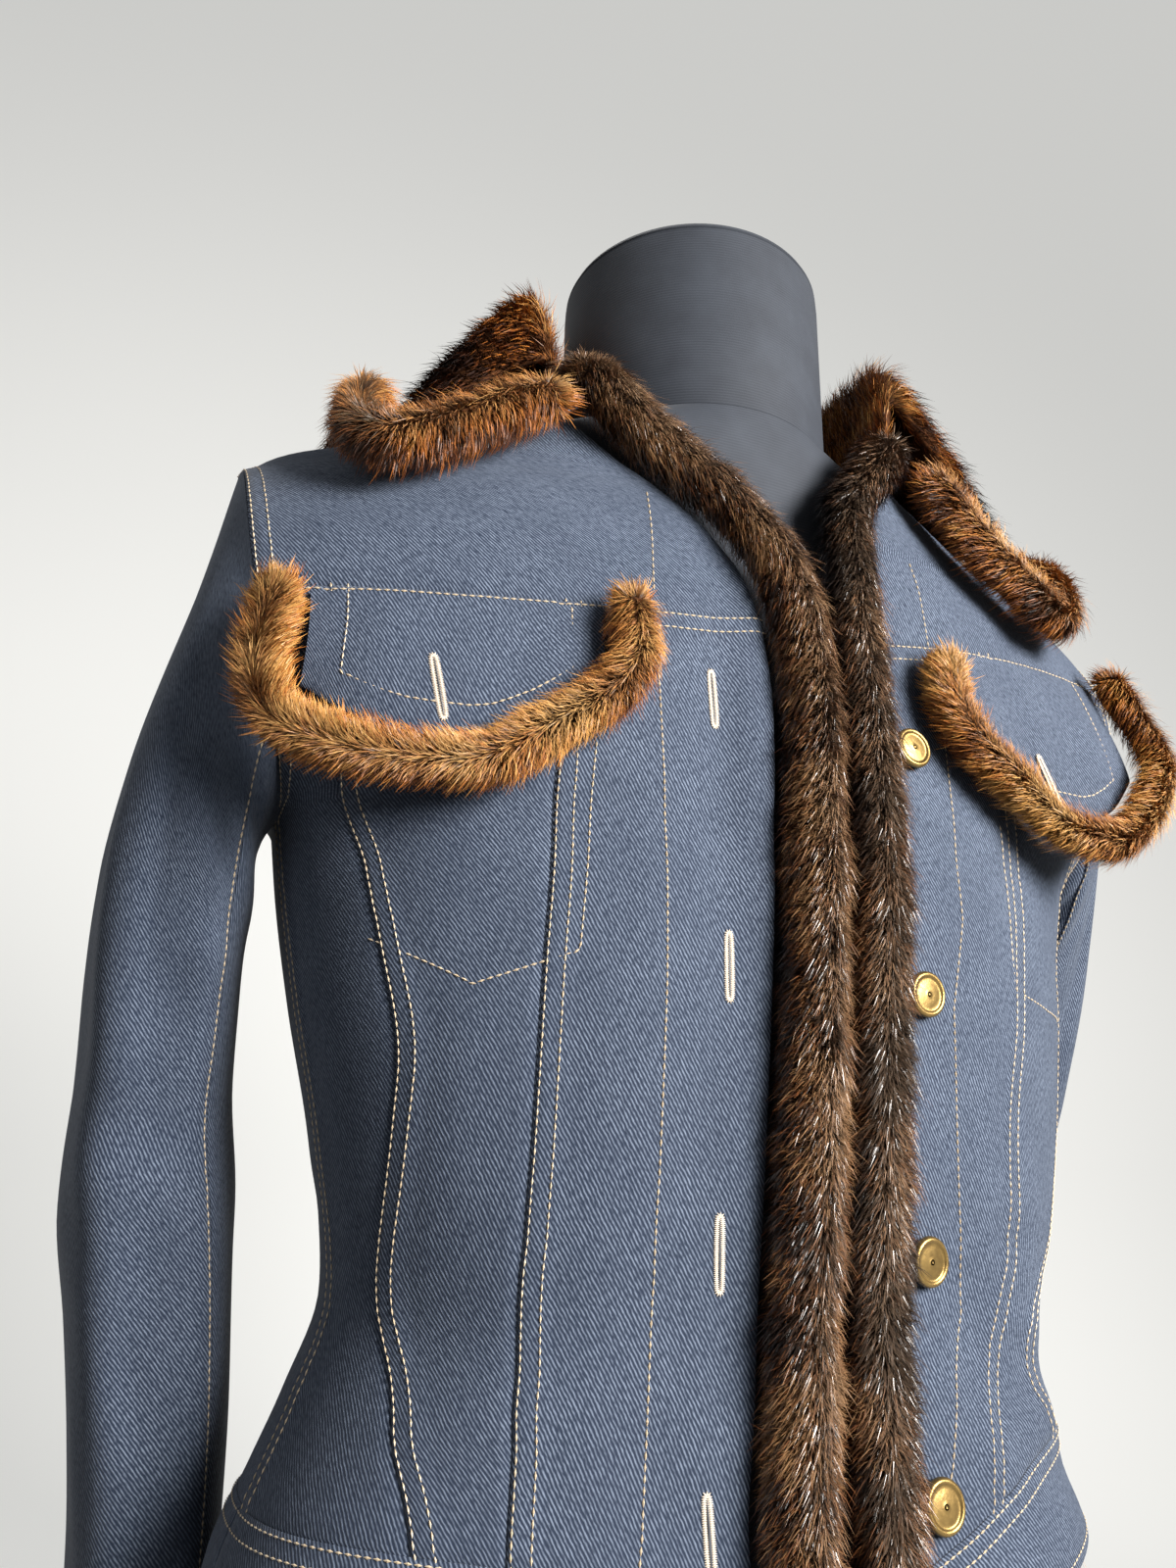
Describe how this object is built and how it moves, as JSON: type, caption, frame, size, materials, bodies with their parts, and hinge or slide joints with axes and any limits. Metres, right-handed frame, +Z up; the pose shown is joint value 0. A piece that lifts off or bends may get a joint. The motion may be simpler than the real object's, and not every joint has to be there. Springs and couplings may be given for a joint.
{
  "type": "fur-trimmed denim jacket on a limbless dress form",
  "caption": "Short fitted denim jacket with a fur collar, fur down both open fronts, fur round the pocket flaps and fur cuffs, worn open on a limbless dress form with a flat base.",
  "frame": {"origin": "on the ground, in the middle of the dress form's base", "axes": "+Z up, the front of the jacket faces -Y, the wearer's left is +X"},
  "size_m": [0.4784, 0.2674, 0.724],
  "materials": {
    "denim": "indigo twill, worn lighter at the seams",
    "rust_fur": "dense rust and golden brown pile",
    "dark_fur": "dense dark brown pile with paler tips",
    "jersey": "fine ribbed matt jersey",
    "board": "matt",
    "brass": "satin"
  },
  "bodies": {
    "root": {"front_yoke_right": "denim", "front_yoke_left": "denim", "back_yoke": "denim", "front_centre_right": "denim", "front_middle_right": "denim", "front_side_right": "denim", "back_side_right": "denim", "back_centre_right": "denim", "hem_band_right": "denim", "sleeve_top_right": "denim", "sleeve_under_right": "denim", "flap_right": "denim", "front_centre_left": "denim", "front_middle_left": "denim", "front_side_left": "denim", "back_side_left": "denim", "back_centre_left": "denim", "hem_band_left": "denim", "sleeve_top_left": "denim", "sleeve_under_left": "denim", "flap_left": "denim", "hem_band_back": "denim", "cuff_right": "rust_fur", "cuff_left": "rust_fur", "flap_fur_right": "rust_fur", "flap_fur_left": "rust_fur", "collar": "rust_fur", "collar_edge": "rust_fur", "front_fur_right": "dark_fur", "front_fur_left": "dark_fur", "form_torso": "jersey", "form_neck": "jersey", "form_base": "board", "button_1": "brass", "button_2": "brass", "button_3": "brass", "button_4": "brass"}
  },
  "joints": []
}
